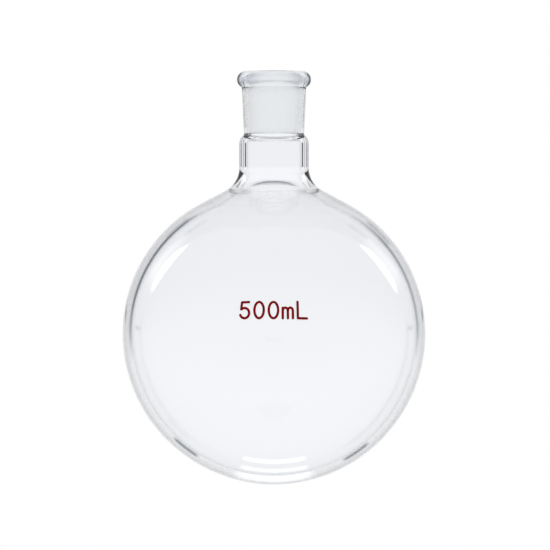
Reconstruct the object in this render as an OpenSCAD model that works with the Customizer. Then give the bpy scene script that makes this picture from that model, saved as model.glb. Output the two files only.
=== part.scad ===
// Round-bottom flask, blown in one piece: a round bulb, a swept neck and a conical ground joint.
// The whole body is one revolved section, in millimetres. The section's heights are measured from the
// bulb's centre, and the finished body stands with the bulb's lowest point at 0.

/* [Bulb] */
// Outside diameter of the bulb at its widest
bulb_d = 105; // [70:1:160]
// How much flatter the upper half is than a true half ball
crown_drop = 1.8; // [0.2:0.1:4]
// Thickness of the bulb's wall
bulb_wall = 3; // [1.8:0.1:4]

/* [Neck] */
// How far the neck stands out past the narrow end of the joint, all round
neck_step = 1.65; // [1:0.05:2.5]
// Thickness of the neck's wall
neck_wall = 2.5; // [1.8:0.1:3.2]
// Length of the straight stretch of the neck
neck_length = 8.4; // [2:0.1:60]
// Outside radius of the sweep from the flare up into the neck
sweep_r = 9; // [5:0.5:14]
// Lean of the straight flare outside, from upright, between the bulb and the sweep
flare_tilt = 62; // [52:1:68]
// Inside radius of the sweep from the flare up into the neck
inner_sweep_r = 8.5; // [5:0.5:14]
// Lean of the straight flare inside, from upright
inner_flare_tilt = 63; // [52:1:68]
// Outside radius of the shoulder that closes the neck in to the joint
shoulder_r = 3.5; // [3:0.1:5]
// Radius of each of the two bends inside the shoulder
inner_bend_r = 1.3; // [0.8:0.1:2]

/* [Ground joint] */
// Inside diameter of the ground cone at its wide end, level with the rim
joint_d = 18.8; // [14.5:0.1:29.2]
// Length of the ground cone, from its narrow end to the rim
joint_length = 22; // [15:0.5:40]
// Loss of diameter per unit of length down the cone
joint_taper = 0.1; // [0.05:0.01:0.12]
// Thickness of the joint's wall
joint_wall = 2.1; // [1.6:0.1:3]
// Length of the plain bore below the narrow end of the ground cone
joint_land = 0.7; // [0.2:0.1:2]
// Outside radius of the corner between the shoulder and the joint
joint_corner_r = 0.8; // [0.3:0.1:1.5]

/* [Rim] */
// How far the bead stands out past the wide end of the joint's wall, all round
bead_step = 1.4; // [0.6:0.1:2]
// Radius of the bead's rounded section
bead_r = 2.95; // [2.6:0.05:4]
// Radius of the corner under the bead
bead_corner_r = 0.8; // [0.3:0.1:1.5]
// Radius of the mouth's inner edge
mouth_r = 0.8; // [0.4:0.1:1.2]

/* [Hidden] */
$fn = 144;

// Overlap of two outlines that touch, so that they join with no gap
seam = 0.0002;

// Radii of the cone and of the neck around it
cone_lean = atan(joint_taper / 2);
cone_wide_r = joint_d / 2;
cone_narrow_r = cone_wide_r - joint_length * joint_taper / 2;
joint_foot_r = cone_narrow_r + joint_wall;
neck_r = joint_foot_r + neck_step;
bore_r = neck_r - neck_wall;

// Heights, from the sweep up to the rim
neck_foot = sweep_centre(0, neck_r, sweep_r, flare_tilt).y;
neck_head = neck_foot + neck_length;
shoulder_centre = [neck_r - shoulder_r, neck_head];
cone_foot = neck_head + sqrt(shoulder_r ^ 2 - (joint_foot_r - shoulder_centre.x) ^ 2);
rim_height = cone_foot + joint_length;

// Directions along the cone and square to it, away from the axis
up_cone = [sin(cone_lean), cos(cone_lean)];
out_of_cone = [cos(cone_lean), -sin(cone_lean)];
joint_foot = [joint_foot_r, cone_foot];

// The mouth's inner edge is tangent to the ground cone, to the rim's top and to the bead
mouth_lift = (joint_length - mouth_r + mouth_r * sin(cone_lean)) / cos(cone_lean);
mouth_centre = [cone_narrow_r, cone_foot] + mouth_r * out_of_cone + mouth_lift * up_cone;
bead_centre_r = cone_wide_r + joint_wall + bead_step - bead_r;
bead_drop = sqrt((bead_r - mouth_r) ^ 2 - (mouth_centre.x - bead_centre_r) ^ 2);
bead_centre = [bead_centre_r, mouth_centre.y - bead_drop];

// Directions square to a flare, away from the axis, and up along it
function out_of_flare(tilt) = [cos(tilt), sin(tilt)];
function up_flare(tilt) = [-sin(tilt), cos(tilt)];

// Where a flare touches the crown, for a wall set in by inset
function crown_touch(inset, tilt) =
    [crown_drop, 0] + (bulb_d / 2 - inset - crown_drop - seam) * out_of_flare(tilt);

// Centre of the round that touches both the flare and the neck
function sweep_centre(inset, tube_r, round_r, tilt) =
    let (touch = crown_touch(inset, tilt) + round_r * out_of_flare(tilt))
    let (rise = (touch.x - tube_r - round_r) / sin(tilt))
    touch + rise * up_flare(tilt);

// How far along a line from start the distance to centre is span: the far crossing for side 1, the near for -1
function travel(start, direction, centre, span, side) =
    let (offset = centre - start)
    let (middle = offset * direction)
    middle + side * sqrt(span ^ 2 - offset * offset + middle ^ 2);

// The point of a circle that faces another circle's centre
function facing(centre, radius, other) = centre + radius * (other - centre) / norm(other - centre);

// Rectangle from the axis out to radius, between two heights
module band(radius, low, high) {
    translate([0, low]) square([radius, high - low]);
}

// Disc on the radius and height plane
module disc(centre, radius) {
    translate(centre) circle(r = radius);
}

// Fills the corner between touch points a and b, under a hollow round; inside is any point behind the corner
module hollow_corner(a, b, centre, radius, inside) {
    difference() {
        polygon([a, centre, b, inside]);
        disc(centre, radius + seam);
    }
}

// Half outline of the bulb, its crown, the flare, the sweep and the neck up to height top, for a wall set in by
// inset. The crown and the flare run on inside the next outline, which covers their ends
module bulb_and_neck(inset, tube_r, round_r, tilt, top) {
    ball_r = bulb_d / 2 - inset;
    touch = crown_touch(inset, tilt);
    round_centre = sweep_centre(inset, tube_r, round_r, tilt);
    intersection() {
        circle(r = ball_r);
        band(ball_r, -ball_r, 0);
    }
    intersection() {
        disc([crown_drop, 0], ball_r - crown_drop);
        band(ball_r, 0, round_centre.y);
    }
    polygon([[0, 0], touch, [0, touch.y + touch.x / tan(tilt)]]);
    hollow_corner(
        round_centre - round_r * out_of_flare(tilt),
        round_centre - [round_r, 0],
        round_centre,
        round_r,
        [0, 0]
    );
    band(tube_r, 0, top);
}

// Half outline of the outside
module outside() {
    corner_start = joint_foot + joint_corner_r * out_of_cone;
    corner_span = shoulder_r + joint_corner_r;
    corner_rise = travel(corner_start, up_cone, shoulder_centre, corner_span, 1);
    corner_centre = corner_start + corner_rise * up_cone;
    under_start = joint_foot + bead_corner_r * out_of_cone;
    under_rise = travel(under_start, up_cone, bead_centre, bead_r + bead_corner_r, -1);
    under_centre = under_start + under_rise * up_cone;
    bead_level = (bead_centre.y - cone_foot) / cos(cone_lean);
    bulb_and_neck(0, neck_r, sweep_r, flare_tilt, neck_head);
    intersection() {
        disc(shoulder_centre, shoulder_r);
        band(neck_r, neck_head, cone_foot);
    }
    polygon([
        [0, neck_head],
        [shoulder_centre.x, neck_head],
        joint_foot,
        joint_foot + bead_level * up_cone,
        [0, bead_centre.y]
    ]);
    hollow_corner(
        facing(shoulder_centre, shoulder_r, corner_centre),
        corner_centre - joint_corner_r * out_of_cone,
        corner_centre,
        joint_corner_r,
        [cone_wide_r, neck_head]
    );
    hollow_corner(
        under_centre - bead_corner_r * out_of_cone,
        facing(bead_centre, bead_r, under_centre),
        under_centre,
        bead_corner_r,
        bead_centre
    );
    disc(bead_centre, bead_r);
    band(bead_centre.x, bead_centre.y, rim_height);
}

// Half outline of the hollow, from the bulb to just past the mouth
module inside() {
    past_mouth = 1;
    bend_span = 2 * inner_bend_r;
    lip_centre = [cone_narrow_r + inner_bend_r, cone_foot - joint_land];
    bend_drop = sqrt(bend_span ^ 2 - (lip_centre.x - bore_r + inner_bend_r) ^ 2);
    bend_centre = [bore_r - inner_bend_r, lip_centre.y - bend_drop];
    mouth_touch = mouth_centre - mouth_r * out_of_cone;
    mouth_top = facing(bead_centre, bead_r, mouth_centre);
    bulb_and_neck(bulb_wall, bore_r, inner_sweep_r, inner_flare_tilt, bend_centre.y);
    disc(bend_centre, inner_bend_r);
    band(bend_centre.x, bend_centre.y, lip_centre.y);
    hollow_corner(
        facing(bend_centre, inner_bend_r, lip_centre),
        lip_centre - [inner_bend_r, 0],
        lip_centre,
        inner_bend_r,
        [0, bend_centre.y]
    );
    polygon([
        [0, bend_centre.y],
        [cone_narrow_r, bend_centre.y],
        [cone_narrow_r, cone_foot],
        [cone_narrow_r, cone_foot] + (joint_length + past_mouth) * up_cone,
        [0, rim_height + past_mouth]
    ]);
    difference() {
        polygon([
            [0, mouth_touch.y],
            mouth_touch,
            mouth_centre,
            mouth_top,
            mouth_top + [0, past_mouth],
            [0, mouth_top.y + past_mouth]
        ]);
        disc(mouth_centre, mouth_r + seam);
    }
}

// The blown glass body
module flask() {
    color([0.88, 0.93, 0.95, 0.45])
    translate([0, 0, bulb_d / 2])
    rotate_extrude()
    difference() {
        outside();
        inside();
    }
}

flask();
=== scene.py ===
import math

import bpy
import numpy as np
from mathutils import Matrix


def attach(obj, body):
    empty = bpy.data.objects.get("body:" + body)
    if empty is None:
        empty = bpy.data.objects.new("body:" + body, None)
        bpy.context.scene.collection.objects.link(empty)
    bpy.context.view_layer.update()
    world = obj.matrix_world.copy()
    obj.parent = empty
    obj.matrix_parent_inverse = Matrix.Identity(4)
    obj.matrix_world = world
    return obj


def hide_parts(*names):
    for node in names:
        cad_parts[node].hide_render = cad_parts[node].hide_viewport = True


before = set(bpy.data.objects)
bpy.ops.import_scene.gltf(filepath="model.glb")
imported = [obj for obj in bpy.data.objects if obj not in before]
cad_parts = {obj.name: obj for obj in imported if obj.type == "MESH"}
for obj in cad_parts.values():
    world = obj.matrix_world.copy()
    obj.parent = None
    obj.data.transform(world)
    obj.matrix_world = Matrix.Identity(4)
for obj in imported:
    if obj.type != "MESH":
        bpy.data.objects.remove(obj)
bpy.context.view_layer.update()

# The flask in millimetres. Heights are from the bulb's centre, and become metres at the end.
MM = 0.001
BULB_R = 52.5
CROWN_DROP = 1.8
BULB_WALL = 3.0
NECK_STEP = 1.65
NECK_WALL = 2.5
NECK_LENGTH = 8.4
SWEEP_R = 9.0
FLARE_TILT = 62.0
SHOULDER_R = 3.5
INNER_SWEEP_R = 8.5
INNER_FLARE_TILT = 63.0
INNER_BEND_R = 1.3
CONE_WIDE_R = 9.4
CONE_LENGTH = 22.0
CONE_LEAN = math.atan(0.05)
JOINT_WALL = 2.1
JOINT_LAND = 0.7
CORNER_R = 0.8
BEAD_STEP = 1.4
BEAD_R = 2.95
MOUTH_R = 0.8
AROUND = 228

# Angles in the section, in degrees from straight out. A full turn added to one keeps an arc on its short
# way.
DOWN, OUTWARD, UP, INWARD, FULL_TURN = -90.0, 0.0, 90.0, 180.0, 360.0
# Points of a tight line, as shares of its length
TIGHT_SHARES = (0.0, 0.02, 0.35, 0.65, 0.98, 1.0)
# The ground cone's place among the stretches of the section
CONE_STRETCH = 8

# Clear glass: its own faint colour, with shade painted into that colour by how far it turns edge on, from 0
# to 1, for the body and the bead's upright side: painted grey edges and painted dark crescents on the bead
GLASS_IOR = 1.47
GLASS_TINT = (0.968, 0.976, 0.988, 1.0)
EDGE_PAINTED_SHADE = (0.58, 0.62, 0.68, 1.0)
BEAD_PAINTED_SHADE = (0.03, 0.04, 0.06, 1.0)
BODY_PAINTED_SHADE_STOPS = ((0.0, GLASS_TINT), (0.80, GLASS_TINT), (0.90, EDGE_PAINTED_SHADE))
BEAD_PAINTED_SHADE_STOPS = ((0.0, GLASS_TINT), (0.06, GLASS_TINT), (0.30, EDGE_PAINTED_SHADE), (0.60, EDGE_PAINTED_SHADE), (0.70, BEAD_PAINTED_SHADE),
              (0.82, BEAD_PAINTED_SHADE), (0.88, GLASS_TINT))
# The bead's painted shade comes in between two heights, in metres, and goes where the surface turns up or
# down, between two sizes of its normal's upright part
BEAD_SHADE_HEIGHTS = (0.1365, 0.138)
BEAD_SHADE_SLOPES = (0.45, 0.75)
SWELL_SCALE, SWELL_DETAIL = 26.0, 1.0
SWELL_STRENGTH, SWELL_DEPTH = 0.02, 0.001

# Ground glass: the grain and the roughness fade out between two facings, where light only grazes the surface
GROUND_TINT = (0.93, 0.945, 0.955, 1.0)
GROUND_ROUGHNESS = 0.32
GRAZED_ROUGHNESS = 0.05
GRAZED_FACING = (0.25, 0.42)
GRAIN_SCALE, GRAIN_DETAIL = 4200.0, 2.0
GRAIN_STRENGTH, GRAIN_DEPTH = 0.12, 0.0002

# The fired print: its colour, the share of it that the thin places have, and its unevenness
PRINT_RED = (0.245, 0.0015, 0.002, 1.0)
THIN_SHARE = 0.8
THIN_PLACE, FULL_PLACE = 0.3, 0.7
PATCHY_SCALE, PATCHY_DETAIL = 900.0, 2.0
PATCHY_STRENGTH, PATCHY_DEPTH = 0.2, 0.00003
PRINT_ROUGHNESS = 0.4
PRINT_GLOSS = 0.06

# The printed capacity: places across and up the glass from the middle of the line, in millimetres
PRINT_MIDDLE_HEIGHT = 8.27
STROKE_HALF = 0.43
PRINT_RISE = 0.05
PRINT_SINK = 0.03
CAP_STEPS = 5
STROKE_SIDES = 14
BASE_LINE = -2.79
FIVE_FLAG = (-8.55, 2.72)
FIVE_CORNER = (-10.95, 2.62)
FIVE_WAIST = (-11.17, 0.05)
BOWL_MIDDLE, BOWL_RADII = (-9.97, -1.06), (1.55, 1.75)
BOWL_START, BOWL_END = 142.0, -159.0
OVAL_PLACES, OVAL_RADII = (-5.04, -0.17), (1.58, 2.76)
EM_STEMS = (2.97, 4.69, 6.39)
EM_TOP, EM_WAIST, EM_RISE = 0.78, -0.25, 1.08
ELL_TOP, ELL_FOOT, ELL_END = (8.06, 2.8), (8.06, -2.79), (11.12, -2.87)

# The studio, in metres and degrees: the camera, and the two soft boxes, left and right. They are turned from
# straight behind the flask and raised from level.
CAMERA_HEIGHT = 0.0726
CAMERA_DISTANCE = 2.0
CAMERA_ASIDE = 0.00035
CAMERA_NEAR = 0.01
LENS_MM = 377.6
BOX_DISTANCE = 0.8
BOX_TURN = 62.0
BOX_RAISE = 30.0
BOX_SIZE = (0.12, 0.42)
BOX_WATTS = 0.2

# The floor: height, radius and corners, and the distances from its middle between which it fades to white
FLOOR_HEIGHT = -0.045
FLOOR_R = 0.13
FLOOR_CORNERS = 96
FLOOR_FADE = (0.045, 0.125)
FLOOR_PALE = (0.8, 0.8, 0.8, 1.0)
FLOOR_GLOW = 0.26

# The room's colours: for the camera, for light from the open sides, for mirrored light and for bent light
WHITE = (1.0, 1.0, 1.0, 1.0)
ROOM_DIFFUSE = (0.88, 0.88, 0.88, 1.0)
ROOM_MIRRORED = (0.34, 0.36, 0.39, 1.0)
ROOM_DARK = (0.05, 0.06, 0.09, 1.0)
# The white backdrop's edge in mirrored light, in degrees off straight behind
BACKDROP_EDGE = (12.0, 26.0)
# The soft boxes in mirrored light: half sizes in degrees, the soft edge as squared shares of those, and the
# colour
BOX_HALF = (5.0, 13.0)
BOX_EDGE = (0.75, 1.25)
BOX_GLOW = (4.0, 4.0, 4.0, 1.0)
# The faint light beside each soft box: middle, half sizes and soft edge in degrees, and share of the glow
SPILL_MIDDLE, SPILL_HALF, SPILL_SOFT, SPILL_SHARE = (54.0, 29.0), (4.0, 6.0), 9.0, 0.3
# How much darker the room is in bent light, by degrees off straight behind
RING_SPAN = 45.0
RING_DEPTH = ((0.0, 0.0), (12.0, 0.0), (16.0, 0.05), (20.0, 0.12), (28.0, 0.28), (29.5, 0.6), (31.0, 0.96),
              (34.0, 0.96), (36.0, 0.2), (45.0, 0.0))
# The share of that, by degrees round from the right
RING_SHARE = ((-180.0, 0.7), (-168.0, 0.0), (-12.0, 0.0), (0.0, 0.6), (40.0, 0.8), (60.0, 0.2),
              (120.0, 0.2), (128.0, 0.9), (140.0, 1.0), (165.0, 1.0), (180.0, 0.7))
# A faint grey above level: between two heights in degrees, up to a depth
HAZE_SPAN, HAZE_DEPTH = (-2.5, 2.0), 0.075
# Darker places in bent light: two measures of direction, the middle and half size in each, the soft edge's
# width, all in degrees, then how dark it is, from 0 to 1, and which light meets it
ROOM_SHADES = (
    ("off_back", "clock", (28.0, 132.0), (1.5, 5.0), 3.0, 0.5, "all"),
    ("off_back", "clock", (23.0, 44.0), (2.0, 5.0), 3.0, 0.5, "all"),
    ("off_back", "clock", (29.5, -56.0), (2.0, 4.0), 3.0, 0.8, "all"),
    ("off_back", "clock", (29.5, -127.0), (2.0, 4.0), 3.0, 0.8, "all"),
    ("aside", "raised", (11.5, 1.2), (4.5, 0.45), 0.4, 1.0, "mirrored_once"),
    ("aside", "raised", (28.5, 1.2), (1.5, 0.45), 0.4, 0.4, "mirrored_once"),
    ("aside", "raised", (48.0, 1.2), (4.6, 0.45), 0.4, 0.97, "mirrored_once"),
    ("off_back", "clock", (107.0, 0.0), (70.0, 180.0), 5.0, 1.0, "mirrored_often"),
    ("aside", "raised", (10.0, -50.0), (30.0, 24.0), 6.0, 0.85, "three_walls"),
)
# Brighter places below, for light mirrored once in the wall: the middle and half size, in degrees off
# straight behind and round from the right, the soft edge's width and the gain
ROOM_LIFTS = (
    ((23.0, -90.0), (7.0, 10.0), 8.0, 0.6),
    ((45.5, -90.0), (1.6, 12.0), 3.0, 1.2),
    ((60.5, -90.0), (1.2, 12.0), 3.0, 2.5),
)
# Limits on a light's way through the glass, each between two whole counts: surfaces passed in one wall and
# in two, and mirrorings
ONE_WALL, TWO_WALLS, ONCE, TWICE = 2.5, 4.5, 1.5, 2.5
# Sockets of a mixing node that has one set for numbers and one for colours
MIX_SHARE, MIX_FIRST, MIX_SECOND, MIX_RESULT = 0, 6, 7, 2


def direction(angle):
    """The unit vector at an angle from the radius axis, in degrees, in the plane of radius and height."""
    return np.array([math.cos(math.radians(angle)), math.sin(math.radians(angle))])


def bearing(start, end):
    """The angle in degrees of the line from start to end, by the arc tangent of its rise over its run."""
    return math.degrees(math.atan2(end[1] - start[1], end[0] - start[0]))


def arc(centre, radii, start, end, steps):
    """Points of a circle or ellipse: centre + radii times (cosine, sine) of angles from start to end."""
    turn = np.radians(np.linspace(start, end, steps + 1))
    return np.asarray(centre) + np.stack([np.cos(turn), np.sin(turn)], 1) * np.asarray(radii)


def line(start, end, steps):
    """Points evenly spaced from start to end: start + t (end - start), for t from 0 to 1."""
    t = np.linspace(0.0, 1.0, steps + 1)[:, None]
    return np.asarray(start) + t * (np.asarray(end) - np.asarray(start))


def tight_line(start, end):
    """A line with a point close to each end, so that smooth shading bends only there: start + t (end -
    start), for t the shares of its length."""
    t = np.array(TIGHT_SHARES)[:, None]
    return np.asarray(start) + t * (np.asarray(end) - np.asarray(start))


def along(start, heading, centre, span, side):
    """The point on a ray at the distance span from centre: a root of |start + t heading - centre| = span."""
    offset = np.asarray(centre) - start
    middle = offset @ heading
    return start + (middle + side * math.sqrt(span ** 2 - offset @ offset + middle ** 2)) * heading


def flare(inset, tube_r, round_r, tilt):
    """The straight flare that touches the crown, and the round from it up to the neck: the touch point on
    the crown and the round's centre, which lies round_r off the flare and round_r outside the neck."""
    square_to, upwards = direction(tilt), direction(tilt + UP)
    touch = np.array([CROWN_DROP, 0.0]) + (BULB_R - inset - CROWN_DROP) * square_to
    length = (touch[0] + round_r * square_to[0] - tube_r - round_r) / square_to[1]
    return touch, touch + length * upwards + round_r * square_to


def wall_section():
    """The glass in section, as radius and height: up the hollow from its lowest point, over the rim and down
    the outside. Each stretch is an arc or a line that leaves its neighbour on the same tangent.
    Returns the points and the first and last index of the ground cone."""
    middle = (0.0, 0.0)
    crown = np.array([CROWN_DROP, 0.0])
    lean = math.degrees(CONE_LEAN)
    up, out = direction(UP - lean), direction(-lean)
    wall_side = INWARD - lean
    cone_narrow_r = CONE_WIDE_R - CONE_LENGTH * math.tan(CONE_LEAN)
    foot_r = cone_narrow_r + JOINT_WALL
    neck_r = foot_r + NECK_STEP
    bore_r = neck_r - NECK_WALL
    outer_touch, outer_sweep = flare(0.0, neck_r, SWEEP_R, FLARE_TILT)
    inner_touch, inner_sweep = flare(BULB_WALL, bore_r, INNER_SWEEP_R, INNER_FLARE_TILT)
    neck_head = outer_sweep[1] + NECK_LENGTH
    shoulder = np.array([neck_r - SHOULDER_R, neck_head])
    cone_foot = neck_head + math.sqrt(SHOULDER_R ** 2 - (foot_r - shoulder[0]) ** 2)
    foot = np.array([foot_r, cone_foot])
    narrow = np.array([cone_narrow_r, cone_foot])
    lift = (CONE_LENGTH - MOUTH_R + MOUTH_R * math.sin(CONE_LEAN)) / math.cos(CONE_LEAN)
    mouth = narrow + MOUTH_R * out + lift * up
    bead_x = CONE_WIDE_R + JOINT_WALL + BEAD_STEP - BEAD_R
    bead_drop = math.sqrt((BEAD_R - MOUTH_R) ** 2 - (mouth[0] - bead_x) ** 2)
    bead = np.array([bead_x, mouth[1] - bead_drop])
    corner = along(foot + CORNER_R * out, up, shoulder, SHOULDER_R + CORNER_R, 1)
    under = along(foot + CORNER_R * out, up, bead, BEAD_R + CORNER_R, -1)
    lip = narrow + np.array([INNER_BEND_R, -JOINT_LAND])
    bend_x = bore_r - INNER_BEND_R
    bend = np.array([bend_x, lip[1] - math.sqrt((2 * INNER_BEND_R) ** 2 - (lip[0] - bend_x) ** 2)])
    inner_r = BULB_R - BULB_WALL
    inner_flare_top = inner_sweep - INNER_SWEEP_R * direction(INNER_FLARE_TILT)
    flare_top = outer_sweep - SWEEP_R * direction(FLARE_TILT)
    stretches = [
        arc(middle, inner_r, DOWN, OUTWARD, steps=78),
        arc(crown, inner_r - CROWN_DROP, OUTWARD, INNER_FLARE_TILT, steps=54),
        line(inner_touch, inner_flare_top, steps=4),
        arc(inner_sweep, INNER_SWEEP_R, INNER_FLARE_TILT + INWARD, INWARD, steps=26),
        tight_line((bore_r, inner_sweep[1]), (bore_r, bend[1])),
        arc(bend, INNER_BEND_R, OUTWARD, bearing(bend, lip), steps=7),
        arc(lip, INNER_BEND_R, bearing(lip, bend) + FULL_TURN, INWARD, steps=7),
        line(lip - (INNER_BEND_R, 0.0), narrow, steps=1),
        line(narrow, mouth - MOUTH_R * out, steps=12),
        arc(mouth, MOUTH_R, wall_side, bearing(bead, mouth), steps=9),
        arc(bead, BEAD_R, bearing(bead, mouth), bearing(bead, under), steps=28),
        arc(under, CORNER_R, bearing(under, bead), wall_side, steps=5),
        line(under - CORNER_R * out, corner - CORNER_R * out, steps=6),
        arc(corner, CORNER_R, wall_side, bearing(corner, shoulder) + FULL_TURN, steps=5),
        arc(shoulder, SHOULDER_R, bearing(shoulder, corner), OUTWARD, steps=8),
        tight_line((neck_r, neck_head), (neck_r, outer_sweep[1])),
        arc(outer_sweep, SWEEP_R, INWARD, FLARE_TILT + INWARD, steps=24),
        line(flare_top, outer_touch, steps=4),
        arc(crown, BULB_R - CROWN_DROP, FLARE_TILT, OUTWARD, steps=54),
        arc(middle, BULB_R, OUTWARD, DOWN, steps=84),
    ]
    first = sum(len(s) - 1 for s in stretches[:CONE_STRETCH])
    last = first + len(stretches[CONE_STRETCH]) - 1
    points = np.concatenate([s[:-1] for s in stretches] + [stretches[-1][-1:]])
    return points, first, last


def skin(rings, first=None, last=None):
    """Faces of a tube of rings that closes round itself: each square joins neighbours on two rings. The ends
    close on the points first and last, as fans of triangles, or on each other where there are none."""
    count, around = rings.shape[:2]
    index = np.arange(count * around).reshape(count, around)
    if first is None:
        index = np.concatenate([index, index[:1]])
    beside = np.roll(index, -1, axis=1)
    squares = np.stack([index[:-1], index[1:], beside[1:], beside[:-1]], 2).reshape(-1, 4)
    points = rings.reshape(-1, 3)
    if first is None:
        return points, squares
    low = np.full(around, len(points))
    high = low + 1
    start_fan = np.stack([low, index[0], beside[0]], 1)
    end_fan = np.stack([high, beside[-1], index[-1]], 1)
    return np.concatenate([points, [first, last]]), squares, start_fan, end_fan


def piece(name, points, faces, materials, chosen=None):
    """A smooth mesh object from points in metres and a list of face arrays, riding on the frame."""
    mesh = bpy.data.meshes.new(name)
    mesh.from_pydata(points.tolist(), [], [f for group in faces for f in group.tolist()])
    for material in materials:
        mesh.materials.append(material)
    if chosen is not None:
        mesh.polygons.foreach_set("material_index", chosen.astype(np.int32))
    mesh.polygons.foreach_set("use_smooth", np.ones(len(mesh.polygons), bool))
    mesh.update()
    made = bpy.data.objects.new(name, mesh)
    bpy.context.scene.collection.objects.link(made)
    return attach(made, "root")


def new_nodes(owner):
    """Turns nodes on for a material or world and returns its empty tree."""
    owner.use_nodes = True
    owner.node_tree.nodes.clear()
    return owner.node_tree


def new_material(name):
    """A material with its empty tree and the places on the object, in metres."""
    made = bpy.data.materials.new(name)
    tree = new_nodes(made)
    return made, tree, node(tree, "ShaderNodeTexCoord").outputs["Object"]


def node(tree, kind, inputs=(), **settings):
    """Adds a node, with settings by name and inputs by number or name: sockets are linked, values set."""
    made = tree.nodes.new(kind)
    for name, value in settings.items():
        setattr(made, name, value)
    for key, value in dict(inputs).items():
        if isinstance(value, bpy.types.NodeSocket):
            tree.links.new(value, made.inputs[key])
        else:
            made.inputs[key].default_value = value
    return made


def calc(tree, operation, *values):
    """One step of arithmetic on values or sockets."""
    return node(tree, "ShaderNodeMath", dict(enumerate(values)), operation=operation).outputs[0]


def fade(tree, value, span, start=0.0, end=1.0, form="LINEAR"):
    """Takes a value's span onto the range from start to end, held at both: straight, or as a smooth step."""
    return node(tree, "ShaderNodeMapRange", {
        "Value": value, "From Min": span[0], "From Max": span[1], "To Min": start, "To Max": end,
    }, interpolation_type=form).outputs[0]


def blend(tree, share, first, second):
    """The first colour where the share is 0 and the second where it is 1."""
    inputs = {MIX_SHARE: share, MIX_FIRST: first, MIX_SECOND: second}
    return node(tree, "ShaderNodeMix", inputs, data_type="RGBA").outputs[MIX_RESULT]


def ramp(tree, value, stops):
    """Colours along a value from 0 to 1, as a ramp with the stops given as place and colour."""
    made = node(tree, "ShaderNodeValToRGB", {"Fac": value})
    line_up = made.color_ramp.elements
    for count, (place, colour) in enumerate(stops):
        stop = line_up[count] if count < 2 else line_up.new(place)
        stop.position = place
        stop.color = colour
    return made.outputs["Color"]


def grey(depth):
    """A grey with a level from 0 to 1."""
    return (depth, depth, depth, 1.0)


def cloud(tree, place, scale, detail):
    """Cloudy noise from 0 to 1, with blobs about one over scale metres across."""
    return node(tree, "ShaderNodeTexNoise", {"Vector": place, "Scale": scale, "Detail": detail}).outputs[0]


def relief(tree, height, strength, depth):
    """Bends the shaded surface as if height, from 0 to 1, stood out by depth metres."""
    return node(tree, "ShaderNodeBump", {
        "Height": height, "Strength": strength, "Distance": depth,
    }).outputs[0]


def facing(tree):
    """How far the surface turns edge on: 1 less the cosine of the angle between its normal and the ray."""
    return node(tree, "ShaderNodeLayerWeight", {"Blend": 0.5}).outputs["Facing"]


def glass(tree, tint_and_painted_shade, roughness, normal):
    """Finishes a material as glass that bends light."""
    shader = node(tree, "ShaderNodeBsdfPrincipled", {
        "Base Color": tint_and_painted_shade, "Roughness": roughness, "IOR": GLASS_IOR, "Transmission Weight": 1.0,
        "Normal": normal,
    })
    node(tree, "ShaderNodeOutputMaterial", {"Surface": shader.outputs[0]})


def clear_glass():
    """Fire polished clear glass with painted shade: its colour is painted greyer edge on, and darkest along
    the bead's upright side. Long faint swells of the drawn tube and the blown bulb bend the surface a
    little."""
    made, tree, place = new_material("clear_glass")
    swell = cloud(tree, place, SWELL_SCALE, SWELL_DETAIL)
    edge = facing(tree)
    high = fade(tree, node(tree, "ShaderNodeSeparateXYZ", {0: place}).outputs[2], BEAD_SHADE_HEIGHTS)
    normal = node(tree, "ShaderNodeNewGeometry").outputs["Normal"]
    slope = calc(tree, "ABSOLUTE", node(tree, "ShaderNodeSeparateXYZ", {0: normal}).outputs[2])
    bead_shade_share = calc(tree, "MULTIPLY", high, fade(tree, slope, BEAD_SHADE_SLOPES, 1.0, 0.0))
    # Painted shade: the glass's colour turns grey edge on and dark along the bead's upright side
    tint_and_painted_shade = blend(tree, bead_shade_share, ramp(tree, edge, BODY_PAINTED_SHADE_STOPS), ramp(tree, edge, BEAD_PAINTED_SHADE_STOPS))
    glass(tree, tint_and_painted_shade, 0.0, relief(tree, swell, SWELL_STRENGTH, SWELL_DEPTH))
    return made


def ground_glass():
    """Finely ground glass: a rough surface that still lets light through, with the grain of the grinding
    powder. Light that only grazes it is mirrored more clearly."""
    made, tree, place = new_material("ground_glass")
    grain = cloud(tree, place, GRAIN_SCALE, GRAIN_DETAIL)
    grazed = fade(tree, facing(tree), GRAZED_FACING)
    unit = (0.0, 1.0)
    roughness = fade(tree, grazed, unit, GROUND_ROUGHNESS, GRAZED_ROUGHNESS)
    strength = fade(tree, grazed, unit, GRAIN_STRENGTH, 0.0)
    glass(tree, GROUND_TINT, roughness, relief(tree, grain, strength, GRAIN_DEPTH))
    return made


def fired_print():
    """Dark red enamel, fired on: nearly flat, with a faint unevenness in its colour and gloss."""
    made, tree, place = new_material("fired_red_print")
    patchy = cloud(tree, place, PATCHY_SCALE, PATCHY_DETAIL)
    thin = [THIN_SHARE * part for part in PRINT_RED[:3]] + [1.0]
    enamel = node(tree, "ShaderNodeBsdfPrincipled", {
        "Base Color": ramp(tree, patchy, ((THIN_PLACE, thin), (FULL_PLACE, PRINT_RED))),
        "Roughness": PRINT_ROUGHNESS, "Specular IOR Level": PRINT_GLOSS,
        "Normal": relief(tree, patchy, PATCHY_STRENGTH, PATCHY_DEPTH),
    })
    node(tree, "ShaderNodeOutputMaterial", {"Surface": enamel.outputs[0]})
    return made


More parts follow.
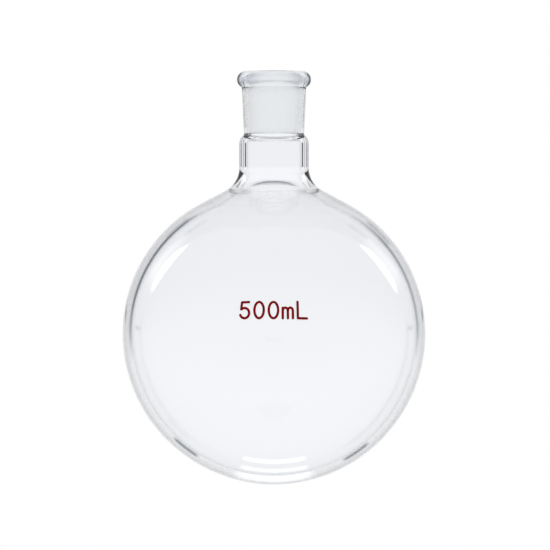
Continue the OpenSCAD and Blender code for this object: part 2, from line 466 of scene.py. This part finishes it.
def make_flask():
    """The glass body: the section turned about the upright axis, as radius times (cosine, sine)."""
    section, first, last = wall_section()
    turn = np.linspace(0.0, 2.0 * math.pi, AROUND, endpoint=False)
    radius, height = section[1:-1, 0, None], section[1:-1, 1, None]
    rings = np.stack([radius * np.cos(turn), radius * np.sin(turn), height + 0.0 * turn], 2)
    lift = np.array([0.0, 0.0, BULB_R])
    low = np.array([0.0, 0.0, section[0, 1]])
    high = np.array([0.0, 0.0, section[-1, 1]])
    points, squares, start_fan, end_fan = skin(rings, low, high)
    chosen = np.zeros(len(squares) + 2 * AROUND)
    chosen[(first - 1) * AROUND:(last - 1) * AROUND] = 1
    flask = piece("flask_glass", (points + lift) * MM, [squares, start_fan, end_fan],
                  [clear_glass(), ground_glass()], chosen)
    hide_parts("flask")


def letter_strokes():
    """Middle lines of the strokes of 500mL, in millimetres: each as points and whether it closes."""
    strokes = [
        (line(FIVE_FLAG, FIVE_CORNER, steps=6), False),
        (np.concatenate([
            line(FIVE_CORNER, FIVE_WAIST, steps=8)[:-1],
            arc(BOWL_MIDDLE, BOWL_RADII, BOWL_START, BOWL_END, steps=40),
        ]), False),
    ]
    for place in OVAL_PLACES:
        strokes.append((arc((place, 0.0), OVAL_RADII, OUTWARD, FULL_TURN, steps=64)[:-1], True))
    strokes.append((line((EM_STEMS[0], EM_TOP), (EM_STEMS[0], BASE_LINE), steps=8), False))
    for left, right in zip(EM_STEMS[:-1], EM_STEMS[1:]):
        radii = ((right - left) / 2.0, EM_RISE)
        hoop = arc(((left + right) / 2.0, EM_WAIST), radii, INWARD, OUTWARD, steps=16)
        stem = line((right, EM_WAIST), (right, BASE_LINE), steps=8)
        strokes.append((np.concatenate([hoop[:-1], stem]), False))
    strokes.append((line(ELL_TOP, ELL_FOOT, steps=10), False))
    strokes.append((line(ELL_FOOT, ELL_END, steps=8), False))
    return strokes


def on_bulb(across, up, rise):
    """Lays places across and up the front onto the crown: up is length along its arc and across is length
    round the axis at the line's middle height, and rise stands out square to the glass."""
    crown_r = BULB_R - CROWN_DROP
    raised = up / crown_r + math.asin(PRINT_MIDDLE_HEIGHT / crown_r)
    middle_r = CROWN_DROP + math.sqrt(crown_r ** 2 - PRINT_MIDDLE_HEIGHT ** 2)
    turned = across / middle_r
    radius = CROWN_DROP + (crown_r + rise) * np.cos(raised)
    height = (crown_r + rise) * np.sin(raised)
    return np.stack([radius * np.sin(turned), -radius * np.cos(turned), height + BULB_R], -1)


def rounded_ends(path, heading):
    """Adds a round cap to each end of an open stroke: its points run on by the sine of an angle times half
    the stroke's width, and its width falls as the cosine. Returns the path, the headings and the widths."""
    cap = np.linspace(math.pi / 2.0, 0.0, CAP_STEPS + 1)[:-1]
    before = path[0] - STROKE_HALF * np.sin(cap)[:, None] * heading[0]
    after = path[-1] + STROKE_HALF * np.sin(cap[::-1])[:, None] * heading[-1]
    width = np.concatenate([np.cos(cap), np.ones(len(path)), np.cos(cap[::-1])])
    path = np.concatenate([before, path, after])
    ends = [np.tile(heading[end], (CAP_STEPS, 1)) for end in (0, -1)]
    return path, np.concatenate([ends[0], heading, ends[1]]), width


def make_print():
    """The printed capacity: a low rounded bead of enamel along each stroke. Its height is the sine of the
    angle round its section, times the rise above the glass or the sink into it."""
    ring_turn = np.linspace(0.0, 2.0 * math.pi, STROKE_SIDES, endpoint=False)
    swell = np.where(np.sin(ring_turn) > 0, PRINT_RISE, PRINT_SINK) * np.sin(ring_turn)
    all_points, all_faces, count = [], [], 0
    for path, closed in letter_strokes():
        if closed:
            ahead = np.roll(path, -1, 0) - np.roll(path, 1, 0)
        else:
            ahead = np.gradient(path, axis=0)
        heading = ahead / np.linalg.norm(ahead, axis=1)[:, None]
        width = np.ones(len(path))
        if not closed:
            path, heading, width = rounded_ends(path, heading)
        square_to = np.stack([heading[:, 1], -heading[:, 0]], 1)
        side = STROKE_HALF * width[:, None] * np.cos(ring_turn)
        flat = path[:, None, :] + side[:, :, None] * square_to[:, None, :]
        rings = on_bulb(flat[..., 0], flat[..., 1], width[:, None] * swell)
        if closed:
            points, *faces = skin(rings)
        else:
            points, *faces = skin(rings[1:-1], rings[0, 0], rings[-1, 0])
        all_points.append(points)
        all_faces += [group + count for group in faces]
        count += len(points)
    piece("capacity_print", np.concatenate(all_points) * MM, all_faces, [fired_print()])


def patch(tree, first, second, middle, half, soft):
    """One smooth-edged patch of a map of directions: 1 inside the half sizes, falling to 0 over the soft
    width, as the product of a falloff in each of the two measures."""
    parts = []
    for measure, centre, reach in zip((first, second), middle, half):
        size = calc(tree, "ABSOLUTE", calc(tree, "SUBTRACT", measure, centre))
        parts.append(fade(tree, size, (reach, reach + soft), 1.0, 0.0, "SMOOTHSTEP"))
    return calc(tree, "MULTIPLY", *parts)


def room_measures(tree):
    """Measures of the direction that a ray leaves in, in degrees: off straight behind, round from the right
    as on a clock, aside from behind to either side, and raised from level. They are the arc cosine, tangents
    and sine of its parts."""
    aim = node(tree, "ShaderNodeTexCoord").outputs["Generated"]
    right, deep, high = node(tree, "ShaderNodeSeparateXYZ", {0: aim}).outputs
    angles = {
        "off_back": calc(tree, "ARCCOSINE", deep),
        "clock": calc(tree, "ARCTAN2", high, right),
        "aside": calc(tree, "ABSOLUTE", calc(tree, "ARCTAN2", right, deep)),
        "raised": calc(tree, "ARCSINE", high),
    }
    return {name: calc(tree, "MULTIPLY", angle, math.degrees(1.0)) for name, angle in angles.items()}


def kinds_of_light(tree, light_path):
    """Kinds of light by its way through the glass, each 1 or 0: any, light that stayed in one wall and was
    mirrored once at most, or more than twice, and light that passed three walls or more."""
    surfaces, mirrorings = light_path["Transmission Depth"], light_path["Glossy Depth"]
    in_wall = calc(tree, "LESS_THAN", surfaces, ONE_WALL)
    return {
        "all": 1.0,
        "mirrored_once": calc(tree, "MULTIPLY", calc(tree, "LESS_THAN", mirrorings, ONCE), in_wall),
        "mirrored_often": calc(tree, "MULTIPLY", calc(tree, "GREATER_THAN", mirrorings, TWICE), in_wall),
        "three_walls": calc(tree, "GREATER_THAN", surfaces, TWO_WALLS),
    }


def bent_light(tree, measures, kinds):
    """The room as bent light meets it: white, darkened in a broken ring, in patches and by a faint haze, the
    deepest of them counting, and then brightened in patches."""
    behind = calc(tree, "MULTIPLY", measures["off_back"], 1.0 / RING_SPAN)
    falloff = ramp(tree, behind, [(place / RING_SPAN, grey(depth)) for place, depth in RING_DEPTH])
    round_about = calc(tree, "MULTIPLY_ADD", measures["clock"], 1.0 / FULL_TURN, 0.5)
    share = ramp(tree, round_about, [(place / FULL_TURN + 0.5, grey(part)) for place, part in RING_SHARE])
    dimmed = calc(tree, "MULTIPLY", falloff, share)
    for first, second, middle, half, soft, depth, kind in ROOM_SHADES:
        shade = patch(tree, measures[first], measures[second], middle, half, soft)
        shade = calc(tree, "MULTIPLY", calc(tree, "MULTIPLY", shade, depth), kinds[kind])
        dimmed = calc(tree, "MAXIMUM", dimmed, shade)
    haze = fade(tree, measures["raised"], HAZE_SPAN, 0.0, HAZE_DEPTH, "SMOOTHSTEP")
    seen = blend(tree, calc(tree, "MAXIMUM", dimmed, haze), WHITE, ROOM_DARK)
    for middle, half, soft, gain in ROOM_LIFTS:
        lift = patch(tree, measures["off_back"], measures["clock"], middle, half, soft)
        lift = calc(tree, "MULTIPLY", lift, kinds["mirrored_once"])
        lift = calc(tree, "MULTIPLY_ADD", lift, gain, 1.0)
        seen = node(tree, "ShaderNodeVectorMath", {0: seen, "Scale": lift}, operation="SCALE").outputs[0]
    return seen


def mirrored_light(tree, measures):
    """The room as mirrored light meets it: a white backdrop in a grey room, and two bright upright ellipses
    for the soft boxes, where the squares of the places over the half sizes add up to less than 1."""
    aside, raised = measures["aside"], measures["raised"]
    backdrop = fade(tree, measures["off_back"], BACKDROP_EDGE, 1.0, 0.0, "SMOOTHSTEP")
    room = blend(tree, backdrop, ROOM_MIRRORED, WHITE)
    wide = calc(tree, "DIVIDE", calc(tree, "SUBTRACT", aside, BOX_TURN), BOX_HALF[0])
    tall = calc(tree, "DIVIDE", calc(tree, "SUBTRACT", raised, BOX_RAISE), BOX_HALF[1])
    boxes = calc(tree, "MULTIPLY_ADD", tall, tall, calc(tree, "MULTIPLY", wide, wide))
    boxes = fade(tree, boxes, BOX_EDGE, 1.0, 0.0, "SMOOTHSTEP")
    spill = patch(tree, aside, raised, SPILL_MIDDLE, SPILL_HALF, SPILL_SOFT)
    spill = calc(tree, "MULTIPLY", spill, SPILL_SHARE)
    return blend(tree, calc(tree, "MAXIMUM", boxes, spill), room, BOX_GLOW)


def make_room():
    """The studio around the flask: white for the camera, pale for light, and pale with a few darker places
    for what the glass bends and mirrors, by the direction that a ray leaves in."""
    world = bpy.data.worlds.new("pale_studio")
    bpy.context.scene.world = world
    tree = new_nodes(world)
    measures = room_measures(tree)
    light_path = node(tree, "ShaderNodeLightPath").outputs
    bent = bent_light(tree, measures, kinds_of_light(tree, light_path))
    seen = blend(tree, light_path["Is Glossy Ray"], ROOM_DIFFUSE, mirrored_light(tree, measures))
    seen = blend(tree, light_path["Is Transmission Ray"], seen, bent)
    seen = blend(tree, light_path["Is Camera Ray"], seen, WHITE)
    light = node(tree, "ShaderNodeBackground", {"Color": seen, "Strength": 1.0})
    node(tree, "ShaderNodeOutputWorld", {"Surface": light.outputs[0]})


def pale_floor():
    """A dull pale floor, with a glow for the camera that makes it white but for its shadows, and plain white
    towards its rim. Light that has met the glass goes through it, so its edge doesn't show in the bulb."""
    made, tree, place = new_material("pale_floor")
    light_path = node(tree, "ShaderNodeLightPath").outputs
    dull = node(tree, "ShaderNodeBsdfDiffuse", {"Color": FLOOR_PALE}).outputs[0]
    glow = node(tree, "ShaderNodeEmission", {"Strength": FLOOR_GLOW}).outputs[0]
    white = node(tree, "ShaderNodeEmission", {"Color": WHITE, "Strength": 1.0}).outputs[0]
    clear = node(tree, "ShaderNodeBsdfTransparent").outputs[0]
    lit = node(tree, "ShaderNodeAddShader", {0: dull, 1: glow}).outputs[0]
    distance = node(tree, "ShaderNodeVectorMath", {0: place}, operation="LENGTH").outputs["Value"]
    bent = calc(tree, "MAXIMUM", light_path["Is Glossy Ray"], light_path["Is Transmission Ray"])

    def either(share, first, second):
        """The first surface where the share is 0 and the second where it is 1."""
        return node(tree, "ShaderNodeMixShader", {0: share, 1: first, 2: second}).outputs[0]

    shown = either(fade(tree, distance, FLOOR_FADE, form="SMOOTHSTEP"), lit, white)
    shown = either(light_path["Is Camera Ray"], dull, shown)
    node(tree, "ShaderNodeOutputMaterial", {"Surface": either(bent, shown, clear)})
    return made


def make_floor():
    """A plain pale round floor below the held flask: corners at radius times (cosine, sine) of angles."""
    turn = np.linspace(0.0, 2.0 * math.pi, FLOOR_CORNERS, endpoint=False)
    edge = np.stack([FLOOR_R * np.cos(turn), FLOOR_R * np.sin(turn), np.zeros(FLOOR_CORNERS)], 1)
    mesh = bpy.data.meshes.new("floor")
    mesh.from_pydata(edge.tolist(), [], [list(range(FLOOR_CORNERS))])
    mesh.materials.append(pale_floor())
    floor = bpy.data.objects.new("floor", mesh)
    floor.location = (0.0, 0.0, FLOOR_HEIGHT)
    bpy.context.scene.collection.objects.link(floor)


def make_lamps():
    """Two tall soft boxes, left and right and a little behind the flask, aimed at the bulb."""
    for side in (-1.0, 1.0):
        turned, raised = math.radians(BOX_TURN * side), math.radians(BOX_RAISE)
        lamp = bpy.data.lights.new("soft_box", "AREA")
        lamp.shape = "ELLIPSE"
        lamp.size, lamp.size_y = BOX_SIZE
        lamp.energy = BOX_WATTS
        made = bpy.data.objects.new("soft_box", lamp)
        bpy.context.scene.collection.objects.link(made)
        made.location = (
            BOX_DISTANCE * math.sin(turned) * math.cos(raised),
            BOX_DISTANCE * math.cos(turned) * math.cos(raised),
            BOX_DISTANCE * math.sin(raised) + BULB_R * MM,
        )
        made.rotation_euler = (math.pi / 2.0 - raised, 0.0, math.pi - turned)
        made.visible_camera = False
        made.visible_glossy = False
        made.visible_transmission = False


def make_camera():
    """A level camera in front of the flask, at the middle of its height."""
    lens = bpy.data.cameras.new("camera")
    lens.lens = LENS_MM
    lens.clip_start = CAMERA_NEAR
    made = bpy.data.objects.new("camera", lens)
    bpy.context.scene.collection.objects.link(made)
    made.location = (CAMERA_ASIDE, -CAMERA_DISTANCE, CAMERA_HEIGHT)
    made.rotation_euler = (math.pi / 2.0, 0.0, 0.0)
    bpy.context.scene.camera = made


make_camera()
make_room()
make_floor()
make_lamps()
make_flask()
make_print()

bpy.context.scene.view_settings.view_transform = "Standard"
